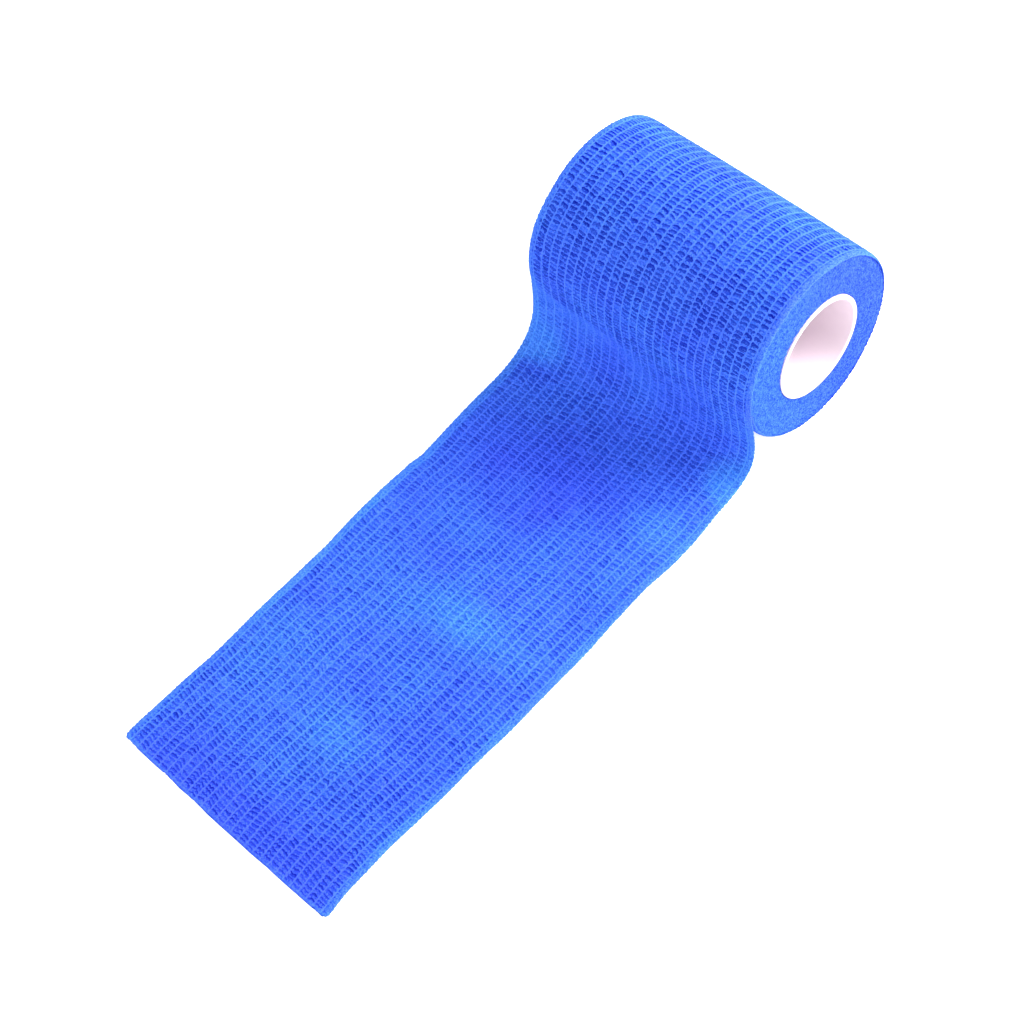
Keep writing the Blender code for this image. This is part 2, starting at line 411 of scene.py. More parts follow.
def make_crinkle_weave():
    """Colour and height of the crinkled cloth, from a place across it and a crinkle's phase, with
    painted shade in the hollows.
    """
    tree, given, out = group(
        "crinkle_weave",
        [
            ("Across", FLOAT, 0.0), ("Phase", FLOAT, 0.0), ("Hollow", FLOAT, 0.0),
            ("Cast", FLOAT, 0.0), ("Mottle", FLOAT, 0.5), ("Tangle", FLOAT, 0.5),
            ("Ridge Color", COLOUR, None), ("Hollow Color", COLOUR, None),
            ("Thread Color", COLOUR, None),
        ],
        [("Color", COLOUR), ("Height", FLOAT)],
    )
    half = math_node(tree, "FRACT", math_node(tree, "MULTIPLY", given["Across"], 0.5))
    off_middle = math_node(tree, "ABSOLUTE", math_node(tree, "SUBTRACT", half, 0.5))
    cycle = math_node(tree, "FRACT", given["Phase"])
    tangle = math_node(tree, "SUBTRACT", given["Tangle"], 0.5)
    jagged = math_node(tree, "MULTIPLY", tangle, RIM_JAGGEDNESS)
    off_hollow = math_node(
        tree, "ABSOLUTE", math_node(tree, "SUBTRACT", math_node(tree, "ADD", cycle, jagged), 0.5)
    )

    # A hollow is a rounded cell between two ridges and two threads, with a tangled rim
    sideways = math_node(tree, "MULTIPLY", off_middle, CELL_WIDTH)
    sideways = math_node(tree, "POWER", sideways, CELL_SQUARENESS)
    narrowing = ramp(tree, given["Hollow"], 0.55, 0.95, SHALLOW_NARROWNESS, DEEP_NARROWNESS)
    lengthwise = math_node(tree, "POWER", math_node(tree, "MULTIPLY", off_hollow, narrowing), 2.0)
    rim = math_node(tree, "ADD", sideways, lengthwise)
    tangled = math_node(tree, "MULTIPLY", tangle, RIM_TANGLE)
    frayed = math_node(tree, "SUBTRACT", given["Mottle"], 0.5)
    frayed = math_node(tree, "MULTIPLY", frayed, RIM_FRAY)
    worn = math_node(tree, "ADD", math_node(tree, "ADD", rim, tangled), frayed)
    hollow = math_node(tree, "MULTIPLY", ramp(tree, worn, 0.50, 1.20, 1.0, 0.0),
                       ramp(tree, worn, -0.20, 0.45, 0.55, 1.0))
    hollow = math_node(tree, "MINIMUM", math_node(tree, "MULTIPLY", hollow, given["Hollow"]), 1.0)

    # Plain cloth, without hollows, has dark flecks between its fibres
    bare = ramp(tree, given["Hollow"], 0.0, 0.4, 1.0, 0.0)
    speck = weighted(tree, (given["Mottle"], COARSE_SHARE), (given["Tangle"], FINE_SHARE))
    fleck = math_node(tree, "MULTIPLY", bare, ramp(tree, speck, 0.25, 0.70, FLECK_STRENGTH, 0.0))
    hollow = math_node(tree, "MAXIMUM", hollow, fleck)

    # The threads show as fine lines through the fibres
    to_thread = math_node(tree, "SUBTRACT", 0.5, off_middle)
    loosened = math_node(tree, "MULTIPLY", frayed, THREAD_LOOSENESS)
    loosened = math_node(tree, "ADD", to_thread, loosened)
    thread = ramp(tree, loosened, THREAD_CORE, THREAD_FLUFF, 1.0, 0.0)
    thread = math_node(tree, "MULTIPLY", thread, ramp(tree, given["Tangle"], 0.2, 0.7, 0.95, 0.35))

    shade = add_node(
        tree, "ShaderNodeHueSaturation", Color=given["Ridge Color"],
        Value=ramp(tree, given["Mottle"], 0.0, 1.0, DARKEST_FIBRE, LIGHTEST_FIBRE),
        Saturation=ramp(tree, given["Mottle"], 0.0, 1.0, STRONGEST_DYE, WEAKEST_DYE),
    ).outputs[0]
    paler = math_node(tree, "MULTIPLY", bare, BARE_PALENESS)
    shade = blend(tree, paler, shade, given["Thread Color"])
    # Painted shade: the hollows take the darker hollow colour, on top of the shade that their real
    # relief casts
    colour = blend(tree, hollow, shade, given["Hollow Color"])
    colour = blend(tree, thread, colour, given["Thread Color"])
    # The cast colours the cloth with the dye's clouds and with painted light and shade from the
    # edges and the clouds table
    cast = blend(tree, given["Cast"], VIOLET_CAST, CYAN_CAST)
    tree.links.new(multiplied(tree, colour, cast), out["Color"])
    height = weighted(
        tree, (hollow, HOLLOW_SINK), (thread, THREAD_RISE), (given["Mottle"], FIBRE_RISE)
    )
    tree.links.new(height, out["Height"])
    return tree


CLOTH_ROUGHNESS = 0.92
CLOTH_SPECULAR = 0.05
SHEEN_WEIGHT = 0.18
SHEEN_ROUGHNESS = 0.30
SHEEN_TINT = (0.16, 0.66, 1.0, 1.0)


def cloth_material(name):
    """An empty cloth material: its node tree, its Principled shader and where to place patterns."""
    material = bpy.data.materials.new(name)
    material.use_nodes = True
    tree = material.node_tree
    shader = tree.nodes["Principled BSDF"]
    shader.inputs["Roughness"].default_value = CLOTH_ROUGHNESS
    shader.inputs["Specular IOR Level"].default_value = CLOTH_SPECULAR
    shader.inputs["Sheen Weight"].default_value = SHEEN_WEIGHT
    shader.inputs["Sheen Roughness"].default_value = SHEEN_ROUGHNESS
    shader.inputs["Sheen Tint"].default_value = SHEEN_TINT
    place = tree.nodes.new("ShaderNodeTexCoord").outputs["Object"]
    return material, tree, shader, place


RIDGE_BLUE = (0.044, 0.134, 0.810, 1.0)
# Painted shade: the darker blue painted into the hollows between the crinkles, deepening the shade
# of their real relief
HOLLOW_SHADE_BLUE = (0.0003, 0.0060, 0.290, 1.0)
THREAD_BLUE = (0.086, 0.198, 0.850, 1.0)

FUZZ_FINENESS = 2400.0
TANGLE_FINENESS = 1150.0
CRINKLE_BUMP = {"Strength": 0.6, "Distance": 0.00022}

fibre_fuzz = make_fibre_fuzz()
crinkle_weave = make_crinkle_weave()


def place_group(tree, which, **inputs):
    """Outputs of a node group placed in a material."""
    return add_node(tree, "ShaderNodeGroup", [("node_tree", which)], **inputs).outputs


def make_crinkled_cloth():
    """The cloth's outside, with its crinkles, threads and dye."""
    material, tree, shader, place = cloth_material("crinkled_cloth")
    weave = add_node(tree, "ShaderNodeUVMap", [("uv_map", "weave")]).outputs[0]
    parts = add_node(tree, "ShaderNodeSeparateXYZ", Vector=weave).outputs
    hollow = add_node(tree, "ShaderNodeAttribute", [("attribute_name", "hollow")]).outputs["Fac"]
    cast = add_node(tree, "ShaderNodeAttribute", [("attribute_name", "cast")]).outputs["Fac"]
    fuzz = place_group(tree, fibre_fuzz, Place=place, Fineness=FUZZ_FINENESS)
    tangle = place_group(tree, fibre_fuzz, Place=place, Fineness=TANGLE_FINENESS)
    cloth = place_group(
        tree, crinkle_weave, Across=parts["X"], Phase=parts["Y"], Hollow=hollow, Cast=cast,
        Mottle=fuzz["Mottle"], Tangle=tangle["Mottle"],
        Ridge_Color=RIDGE_BLUE, Hollow_Color=HOLLOW_SHADE_BLUE, Thread_Color=THREAD_BLUE,
    )
    bump = add_node(tree, "ShaderNodeBump", Height=cloth["Height"], **CRINKLE_BUMP).outputs[0]
    tree.links.new(cloth["Color"], shader.inputs["Base Color"])
    tree.links.new(bump, shader.inputs["Normal"])
    return material


FELT_LIGHT = (0.058, 0.148, 0.740, 1.0)
FELT_DARK = (0.008, 0.034, 0.480, 1.0)
ARCS_PER_METRE = 900.0
ARC_BREAKS = 5.0
FELT_FINENESS = 1700.0
SPECK_FINENESS = 3600.0
FELT_SHARE, SPECK_SHARE, ARC_SHARE = 0.45, 0.30, 0.25
DARK_UNTIL, LIGHT_FROM = 0.30, 0.68
FELT_BUMP = {"Strength": 0.8, "Distance": 0.0004}
# Painted shade and light on the felt: its two tints, and the places between which it goes from
# paler, where the loose end leaves, to a deeper blue
FAR_SIDE_PAINTED_SHADE = (1.0, 0.86, 1.0, 1.0)
NEAR_SIDE_PAINTED_LIGHT = (1.0, 1.16, 1.0, 1.0)
PAINTED_LIGHT_FROM, PAINTED_LIGHT_UNTIL = -0.022, 0.012


def make_felted_edges():
    """The cloth seen from its edge or from under, as felt without crinkles."""
    material, tree, shader, place = cloth_material("felted_edges")
    fuzz = place_group(tree, fibre_fuzz, Place=place, Fineness=FELT_FINENESS)
    speck = place_group(tree, fibre_fuzz, Place=place, Fineness=SPECK_FINENESS)

    # Fibres lie along the turns, so the mottling is drawn out into arcs round the roll's axis
    parts = add_node(tree, "ShaderNodeSeparateXYZ", Vector=place).outputs
    up = math_node(tree, "SUBTRACT", parts["Z"], AXIS_Z)
    radius = math_node(tree, "POWER", math_node(
        tree, "ADD", math_node(tree, "MULTIPLY", parts["Y"], parts["Y"]),
        math_node(tree, "MULTIPLY", up, up),
    ), 0.5)
    round_place = add_node(
        tree, "ShaderNodeCombineXYZ", X=math_node(tree, "MULTIPLY", radius, ARCS_PER_METRE),
        Y=math_node(tree, "MULTIPLY", math_node(tree, "ARCTAN2", up, parts["Y"]), ARC_BREAKS),
    ).outputs[0]
    arcs = add_node(
        tree, "ShaderNodeTexNoise", Vector=round_place, Scale=1.0, Detail=1.5,
    ).outputs[0]

    mottle = weighted(
        tree, (fuzz["Mottle"], FELT_SHARE), (speck["Mottle"], SPECK_SHARE), (arcs, ARC_SHARE)
    )
    colour = blend(tree, ramp(tree, mottle, DARK_UNTIL, LIGHT_FROM), FELT_DARK, FELT_LIGHT)

    # Painted light and shade: the felt is painted paler and more cyan on the side where the loose
    # end leaves the roll, and a deeper blue towards the far side
    painted_light_side = ramp(tree, parts["Y"], PAINTED_LIGHT_FROM, PAINTED_LIGHT_UNTIL, 1.0, 0.0)
    cast = blend(tree, painted_light_side, FAR_SIDE_PAINTED_SHADE, NEAR_SIDE_PAINTED_LIGHT)
    bump = add_node(tree, "ShaderNodeBump", Height=mottle, **FELT_BUMP).outputs[0]
    tree.links.new(multiplied(tree, colour, cast), shader.inputs["Base Color"])
    tree.links.new(bump, shader.inputs["Normal"])
    return material


def wound_radius(angle):
    """Outside of the roll on a crinkle. Angles start where the cloth leaves, and go under."""
    return ROLL_RADIUS - TURN_STEP * (1 - angle / math.tau)


# The cloth's body under its crinkles, as a share of its thickness
BODY_SHARE = 0.95
# The roll's rims are rounded down; above, its middle stands full and its left edge a little out
EDGE_ROUNDING = 0.0020
EDGE_FALL = 0.00060
FULL_ABOVE = 0.625
FULL_MIDDLE = 0.00030
LEFT_EDGE_OUT = 0.00025
TURN_LENGTH = math.tau * (ROLL_RADIUS - TURN_STEP / 2)
# The crinkles of the slack loose end lie a little closer together than those on the roll
LOOSE_LENGTH = 0.1792
SLACK_CLOSING = 0.9766

cloth = crinkle(TURN_LENGTH, LOOSE_LENGTH / SLACK_CLOSING)
crinkled_cloth = make_crinkled_cloth()
felted_edges = make_felted_edges()


def edge_fall():
    """How far the roll's two rims are rounded down, for each station across the cloth."""
    past = np.clip((np.abs(station_x) - CLOTH_HALF_WIDTH + EDGE_ROUNDING) / EDGE_ROUNDING, 0, 1)
    return (EDGE_FALL * past**2)[:, None]


def make_last_turn():
    """One turn of crinkled cloth round the roll, flat below where the roll rests."""
    rows = cloth["turn"]
    height = cloth["height"][:, rows] - RIB_HEIGHT
    angle = np.linspace(0, math.tau, height.shape[1])
    above = eased(-np.sin(angle) / FULL_ABOVE)
    to_edge = (station_x / CLOTH_HALF_WIDTH)[:, None]
    height = height + FULL_MIDDLE * (1 - to_edge**2) * above
    x = station_x[:, None] + cloth["sway"][:, rows]
    x = x - LEFT_EDGE_OUT * np.maximum(-to_edge, 0) * above

    def round_roll(radius, x):
        y = -radius * np.cos(angle)
        z = np.maximum(AXIS_Z - radius * np.sin(angle), 0.0)
        return np.stack(np.broadcast_arrays(x, y, z), axis=-1)

    fallen = edge_fall()
    top = round_roll(wound_radius(angle) + height - fallen, x)
    inside = wound_radius(angle)[None] - BODY_SHARE * TURN_STEP - fallen[::UNDERSIDE_STRIDE]
    under = round_roll(inside, x[::UNDERSIDE_STRIDE])
    phase = cloth["phase"][..., rows]
    depth = cloth["depth"][..., rows]
    return cloth_mesh("last_turn", top, under, phase, depth, cloth["cast"][:, rows])


last_turn = make_last_turn()
last_turn.data.materials.append(crinkled_cloth)
last_turn.data.materials.append(felted_edges)
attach(last_turn, "root")
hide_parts("bandage")

# ------------------------------------------------------------------------------------------------
# Loose end: the same cloth where it leaves the roll, falls in a soft curve and lies on the
# surface, a little slack and wavy, with a cut end that isn't quite square.
# ------------------------------------------------------------------------------------------------

# The sheet grows from one turn's thickness to its own, and thins again at its side edges
LOOSE_THICKNESS = 0.0009
SWELL_LENGTH = 0.012
RIM_THIN_FROM = 0.0345
RIM_THIN_OVER = 0.003
RIM_THINNING = 0.45
RIM_DROP = 0.35
# The cut end: its corners' distances from the roll's axis, and how far it isn't straight
LEFT_CORNER_OUT = 0.1840
RIGHT_CORNER_OUT = 0.1900
CUT_EDGE_BOW = 0.0003
CUT_RAGGEDNESS = 0.00014
CORNER_RADIUS = 0.0012

# Side edges at distances out from the roll's axis
OUTLINE_COLUMNS = ("out", "left", "right")
OUTLINE = (
    (0.0270, -0.0375, 0.0375),
    (0.0420, -0.0370, 0.0372),
    (0.0540, -0.0371, 0.0378),
    (0.0740, -0.0366, 0.0374),
    (0.0800, -0.0374, 0.0374),
    (0.1140, -0.0378, 0.0372),
    (0.1440, -0.0382, 0.0365),
    (0.1680, -0.0393, 0.0352),
    (0.1800, -0.0398, 0.0352),
    (0.1900, -0.0396, 0.0360),
)
# The curve of the fall at the cloth's two edges, and the steps in which it is drawn
FALL_COLUMNS = ("pull_down", "pull_out", "landing_out")
FALL_LEFT = (0.0190, 0.0214, 0.0508)
FALL_RIGHT = (0.0185, 0.0329, 0.0559)
FALL_STEPS = 200
# Soft rises where the cloth doesn't lie quite flat
RISE_COLUMNS = ("across", "out", "half_width", "half_length", "height")
RISES = (
    (0.0110, 0.1040, 0.0240, 0.0200, 0.0018),
    (0.0400, 0.0760, 0.0200, 0.0180, 0.0012),
    (-0.0230, 0.1340, 0.0220, 0.0170, 0.0014),
    (0.0130, 0.1540, 0.0200, 0.0140, 0.0012),
    (-0.0420, 0.0960, 0.0160, 0.0160, 0.0010),
)
# A crease that slants across the fall from its left edge, with fine folds along it
CREASE_COLUMNS = ("across", "travelled")
CREASE = (
    (-0.0375, 0.0050),
    (-0.0290, 0.0082),
    (-0.0080, 0.0088),
    (0.0040, 0.0142),
    (0.0120, 0.0175),
)
CREASE_STARTING = 0.0110
CREASE_END = 0.0120
CREASE_ENDING = 0.016
CREASE_REACH = 0.0040
CREASE_SINK = 0.00055
FOLD_PITCHES = (0.00085, 0.00135)
FOLD_HEIGHT = 0.00015
FOLD_FLATNESS = 0.75
FOLD_CALM = 0.60
# Places where the blue leans to cyan, with fewer hollows, or below zero to a deeper blue. Some are
# clouds of dye; the strongest cyan, at the fall's two edges, is painted light, and the deeper blue
# under the fall and towards the cut end is painted shade.
SMOOTHER_CLOUDS = 0.55
CLOUD_COLUMNS = ("across", "out", "half_width", "half_length", "strength")
DYE_AND_PAINTED_LIGHT_CLOUDS = (
    (0.006, 0.108, 0.028, 0.013, 0.45),
    (0.036, 0.035, 0.012, 0.009, 1.00),
    (0.028, 0.056, 0.014, 0.010, 0.45),
    (-0.026, 0.142, 0.026, 0.016, 0.25),
    (0.002, 0.150, 0.022, 0.012, 0.30),
    (-0.036, 0.0325, 0.016, 0.0065, 1.00),
    (0.022, 0.142, 0.020, 0.022, -0.25),
    (-0.006, 0.060, 0.046, 0.022, -0.40),
    (0.000, 0.188, 0.080, 0.026, -0.50),
)


def columnwise(by_station):
    """Values at each place in each column, from values at each station across the cloth."""
    first = STEPS_PER_COLUMN * np.arange(columns)[:, None]
    return by_station[first + np.arange(STEPS_PER_COLUMN + 1)]


def named_rows(names, rows):
    """Rows of a table, each as a dictionary by column name."""
    return [dict(zip(names, row)) for row in rows]


def mounds(names, rows, across, out):
    """Sum of soft round mounds, each from its row in a table; the last column is its height."""
    total = np.zeros(np.broadcast(across, out).shape)
    for row in named_rows(names, rows):
        sideways = (across - row["across"]) / row["half_width"]
        lengthwise = (out - row["out"]) / row["half_length"]
        total += row[names[-1]] * np.maximum(0.0, 1 - sideways**2 - lengthwise**2) ** 2
    return total


def outline_at(out, side):
    """Place of a side edge at distances out from the roll's axis."""
    rows = named_rows(OUTLINE_COLUMNS, OUTLINE)
    value = np.full(np.shape(out), rows[0][side])
    for near, far in zip(rows, rows[1:]):
        share = eased((out - near["out"]) / (far["out"] - near["out"]))
        value = value + (far[side] - near[side]) * share
    return value


def loose_path(share, back, rows):
    """One line along the loose end's middle surface: how far out and how high, evenly spaced."""
    fall = {
        name: left + (right - left) * share
        for name, left, right in zip(FALL_COLUMNS, FALL_LEFT, FALL_RIGHT)
    }
    landing = fall["landing_out"]
    curve = np.array([
        (ROLL_RADIUS, AXIS_Z),
        (ROLL_RADIUS, AXIS_Z - fall["pull_down"]),
        (landing - fall["pull_out"], LOOSE_THICKNESS),
        (landing, LOOSE_THICKNESS),
    ])
    t = np.linspace(0, 1, FALL_STEPS)[:, None]
    weights = np.hstack([(1 - t) ** 3, 3 * (1 - t) ** 2 * t, 3 * (1 - t) * t**2, t**3])
    bow = CUT_EDGE_BOW * math.sin(math.pi * share)
    cut = LEFT_CORNER_OUT + (RIGHT_CORNER_OUT - LEFT_CORNER_OUT) * share + bow + back
    points = np.vstack([weights @ curve, [(cut, LOOSE_THICKNESS)]])
    travelled = np.concatenate([[0], np.cumsum(np.hypot(*np.diff(points, axis=0).T))])
    even = np.linspace(0, travelled[-1], rows)
    return np.interp(even, travelled, points[:, 0]), np.interp(even, travelled, points[:, 1])


def fold_along_crease(travelled):
    """Number of folds past the crease, and how much of the crease there is, at each place."""
    points = named_rows(CREASE_COLUMNS, CREASE)
    line = np.interp(
        station_x, [point["across"] for point in points], [point["travelled"] for point in points]
    )
    past = travelled[None] - line[:, None]
    pitch = np.interp(station_x, (-CLOTH_HALF_WIDTH, CREASE_END), FOLD_PITCHES)
    ending = eased((CREASE_END - station_x) / CREASE_ENDING)
    return past / pitch[:, None], np.exp(-(past / CREASE_REACH) ** 2) * ending[:, None]


def cut_back():
    """How far the cut end is set back at each station: a little ragged, with rounded corners."""
    ragged = CUT_RAGGEDNESS * np.random.default_rng(3).normal(-0.5, 1, len(station_x))
    past = np.clip((np.abs(station_x) - CLOTH_HALF_WIDTH + CORNER_RADIUS) / CORNER_RADIUS, 0, 1)
    return np.minimum(ragged, 0) - CORNER_RADIUS * (1 - np.sqrt(1 - past**2))


def make_loose_end():
    """The sheet from the roll's side to the cut end, along one path for each station across it."""
    piece_rows = cloth["loose"]
    height = cloth["height"][:, piece_rows] - RIB_HEIGHT
    rows = height.shape[1]
    shares = (station_x / CLOTH_HALF_WIDTH + 1) / 2

    # Middle surface of the cloth, and the way that leads away from it
    paths = [loose_path(share, back, rows) for share, back in zip(shares, cut_back())]
    out, up = (np.array(v) for v in zip(*paths))
    left, right = outline_at(out, "left"), outline_at(out, "right")
    x = left + (right - left) * shares[:, None] + cloth["sway"][:, piece_rows]
    way_out, way_up = np.gradient(out, axis=1), np.gradient(up, axis=1)
    way = np.hypot(way_out, way_up)
    away_out, away_up = -way_up / way, way_out / way
    lift = mounds(RISE_COLUMNS, RISES, x, out)
    travelled = np.linspace(0, LOOSE_LENGTH, rows)
    swell = eased(travelled / SWELL_LENGTH)
    thickness = TURN_STEP * (1 - swell) + LOOSE_THICKNESS * swell
    near_rim = eased((np.abs(station_x) - RIM_THIN_FROM) / RIM_THIN_OVER)[:, None]
    thin_rim = 1 - RIM_THINNING * near_rim

    # The crinkles fall in with the folds of the crease, whole crinkles apart from where they were
    folds, creased = fold_along_crease(travelled)
    height *= 1 - FOLD_FLATNESS * creased
    height += FOLD_HEIGHT * creased * (np.cos(math.tau * folds) - 1)
    folds, near = columnwise(folds), columnwise(creased)
    phase = cloth["phase"][..., piece_rows]
    moved = np.sum((phase - folds) * near, axis=(1, 2)) / (np.sum(near, axis=(1, 2)) + 0.001)
    phase = phase + near * (folds + np.round(moved)[:, None, None] - phase)

    inland = eased((station_x + CLOTH_HALF_WIDTH) / CREASE_STARTING)[:, None]
    sunk = CREASE_SINK * inland * creased**2 + edge_fall() * (1 - swell)

    def offset(depth):
        depth = depth - sunk
        y = -(out + depth * away_out)
        z = np.maximum(up + depth * away_up, 0.0) + lift
        return np.stack([x, y, z], axis=-1)

    drop = RIM_DROP * LOOSE_THICKNESS * (1 - thin_rim) * swell
    top = offset(height - drop)
    under = offset(-BODY_SHARE * thickness[None] * thin_rim)[::UNDERSIDE_STRIDE]
    # Painted light and shade: the clouds table adds its bright and deep patches to the cast, and its
    # cyan ones calm the hollows
    clouds = mounds(CLOUD_COLUMNS, DYE_AND_PAINTED_LIGHT_CLOUDS, x, out)
    smoother = 1 - SMOOTHER_CLOUDS * np.clip(clouds, 0, 1)
    depth = cloth["depth"][..., piece_rows] * columnwise(smoother) * (1 - FOLD_CALM * near)
    cast = np.clip(cloth["cast"][:, piece_rows] + clouds, 0, 1)
    return cloth_mesh("loose_end", top, under, phase, depth, cast)


loose_end = make_loose_end()
loose_end.data.materials.append(crinkled_cloth)
loose_end.data.materials.append(felted_edges)
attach(loose_end, "root")
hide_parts("bandage")

# ------------------------------------------------------------------------------------------------
# Wound turns: about thirty layers of the same cloth, wound tight on the tube. At the roll's ends
# their crinkled edges show as a felted face with a faint spiral.
# ------------------------------------------------------------------------------------------------

TUBE_OUTER = (tube_high.y - tube_low.y) / 2
TUBE_PLAY = 0.0001
BORE_RADIUS = TUBE_OUTER + TUBE_PLAY
UNDER_LAST_TURN = 1.05 * TURN_STEP
# Share of a turn in which the spiral's step closes, under the place where the cloth leaves
STEP_CLOSING = 0.03

# The felted faces: their grid, their rounded outer rim, and how uneven they are
FACE_RINGS = 84
FACE_SPOKES = 480
FACE_HALF_WIDTH = 0.0373
RIM_ROUNDING = 0.0011
RIM_FALL = 0.0007
TURN_RIDGE = 0.00010
RIDGE_BREAKS = 0.4
LUMP_CELLS = (150, 28)
FACE_ROUGHNESS = 0.00009
GRAIN_SHARE = 0.45
SETTLED_CELLS = (9, 4)
SETTLED_DEPTH = 0.00012


def patchy(rng, shape, cells):
    """A grid of smooth random values from -1 to 1 that joins up with itself along its first axis."""
    values = rng.uniform(-1, 1, (cells[0], cells[1] + 2))
    place = [np.arange(n) * c / n for n, c in zip(shape, cells)]
    cell = [p.astype(int) for p in place]
    share = [eased(p - c) for p, c in zip(place, cell)]
    corner = [values[np.ix_((cell[0] + i) % cells[0], cell[1] + j)] for i in (0, 1) for j in (0, 1)]
    a, b = share[0][:, None], share[1][None]
    near = corner[0] * (1 - b) + corner[1] * b
    far = corner[2] * (1 - b) + corner[3] * b
    return near * (1 - a) + far * a


def make_wound_turns():
    """A closed ring under the last turn, with the edges of the wound cloth as its two end faces."""
    angle = np.arange(FACE_SPOKES) * math.tau / FACE_SPOKES
    closing = eased(1 - (math.tau - angle) / (STEP_CLOSING * math.tau))
    outside = wound_radius(angle) - UNDER_LAST_TURN - TURN_STEP * closing
    share = np.linspace(0, 1, FACE_RINGS)
    radius = BORE_RADIUS + (outside[:, None] - BORE_RADIUS) * share[None]
    verts = []
    for end, seed in ((-1, 5), (1, 6)):
        rng = np.random.default_rng(seed)
        turn = radius / TURN_STEP - angle[:, None] / math.tau
        ridge = np.cos(math.tau * turn)
        lumps = patchy(rng, radius.shape, LUMP_CELLS)
        grain = rng.normal(0, 1, radius.shape)
        settled = patchy(rng, radius.shape, SETTLED_CELLS)
        x = FACE_HALF_WIDTH + TURN_RIDGE * ridge * (1 - RIDGE_BREAKS + RIDGE_BREAKS * lumps)
        x += FACE_ROUGHNESS * (lumps + GRAIN_SHARE * grain) + SETTLED_DEPTH * settled
        to_outside = (1 - share) * (ROLL_RADIUS - BORE_RADIUS)
        past = np.clip(1 - to_outside / RIM_ROUNDING, 0, 1)
        x -= (RIM_FALL * (1 - np.sqrt(1 - past**2)))[None]
        y = -radius * np.cos(angle)[:, None]
        z = AXIS_Z - radius * np.sin(angle)[:, None]
        verts.append(np.stack([end * x, y, z], axis=-1).reshape(-1, 3))
    grid = np.arange(FACE_SPOKES * FACE_RINGS).reshape(FACE_SPOKES, FACE_RINGS)
    after = np.roll(grid, -1, axis=0)
    face = np.stack([grid[:, :-1], grid[:, 1:], after[:, 1:], after[:, :-1]], axis=-1)
    far = FACE_SPOKES * FACE_RINGS
    ends = np.vstack([face.reshape(-1, 4), (face + far)[..., ::-1].reshape(-1, 4)])
    outer = np.stack([grid[:, -1], grid[:, -1] + far, after[:, -1] + far, after[:, -1]], axis=-1)
    inner = np.stack([after[:, 0], after[:, 0] + far, grid[:, 0] + far, grid[:, 0]], axis=-1)
    mesh = bpy.data.meshes.new("wound_turns")
    mesh.from_pydata(np.vstack(verts).tolist(), [], np.vstack([ends, outer, inner]).tolist())
    mesh.shade_smooth()
    piece = bpy.data.objects.new("wound_turns", mesh)
    bpy.context.scene.collection.objects.link(piece)
    return piece


wound_turns = make_wound_turns()
wound_turns.data.materials.append(felted_edges)
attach(wound_turns, "root")
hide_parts("bandage")

# ------------------------------------------------------------------------------------------------
# Core tube: a plain extruded tube of white plastic, cut to a little more than the cloth's width,
# with its sharp rims just broken. The cloth holds it by being wound on it.
# ------------------------------------------------------------------------------------------------

TUBE_HALF_LENGTH = tube_high.x
TUBE_WALL = 0.0013
TUBE_RIM = 0.0003
TUBE_SPOKES = 192
RIM_STEPS = 5
SHARP_FROM = math.radians(40)

PLASTIC_SHADES = ((0.64, 0.545, 0.605, 1.0), (0.69, 0.595, 0.655, 1.0))
SHADE_FINENESS = 140.0
PLASTIC_ROUGHNESS = 0.38
# Fine lines that the extruder leaves along the tube
DRAWN_FINENESS = 2500.0
DRAWN_STRETCH = (0.04, 1.0, 1.0)
DRAWN_BUMP = {"Strength": 0.25, "Distance": 0.00005}


def make_core_tube():
    """A tube turned from the outline of its wall, with rounded rims."""
    inner = TUBE_OUTER - TUBE_WALL
    arcs = (
        (TUBE_HALF_LENGTH - TUBE_RIM, TUBE_OUTER - TUBE_RIM, 90, 0),
        (TUBE_HALF_LENGTH - TUBE_RIM, inner + TUBE_RIM, 0, -90),
    )
    rim = []
    for x, radius, start, stop in arcs:
        for turn in np.radians(np.linspace(start, stop, RIM_STEPS + 1)):
            rim.append((x + TUBE_RIM * math.cos(turn), radius + TUBE_RIM * math.sin(turn)))
    outline = rim + [(-x, radius) for x, radius in reversed(rim)]
    count = len(outline)
    verts, faces = [], []
    for k in range(TUBE_SPOKES):
        angle = math.tau * k / TUBE_SPOKES
        verts += [(x, r * math.cos(angle), AXIS_Z + r * math.sin(angle)) for x, r in outline]
        here, beside = k * count, (k + 1) % TUBE_SPOKES * count
        for i in range(count):
            j = (i + 1) % count
            faces.append((here + i, here + j, beside + j, beside + i))
    mesh = bpy.data.meshes.new("core_tube_shell")
    mesh.from_pydata(verts, [], faces)
    mesh.shade_smooth()
    mesh.set_sharp_from_angle(angle=SHARP_FROM)
    piece = bpy.data.objects.new("core_tube_shell", mesh)
    bpy.context.scene.collection.objects.link(piece)
    return piece


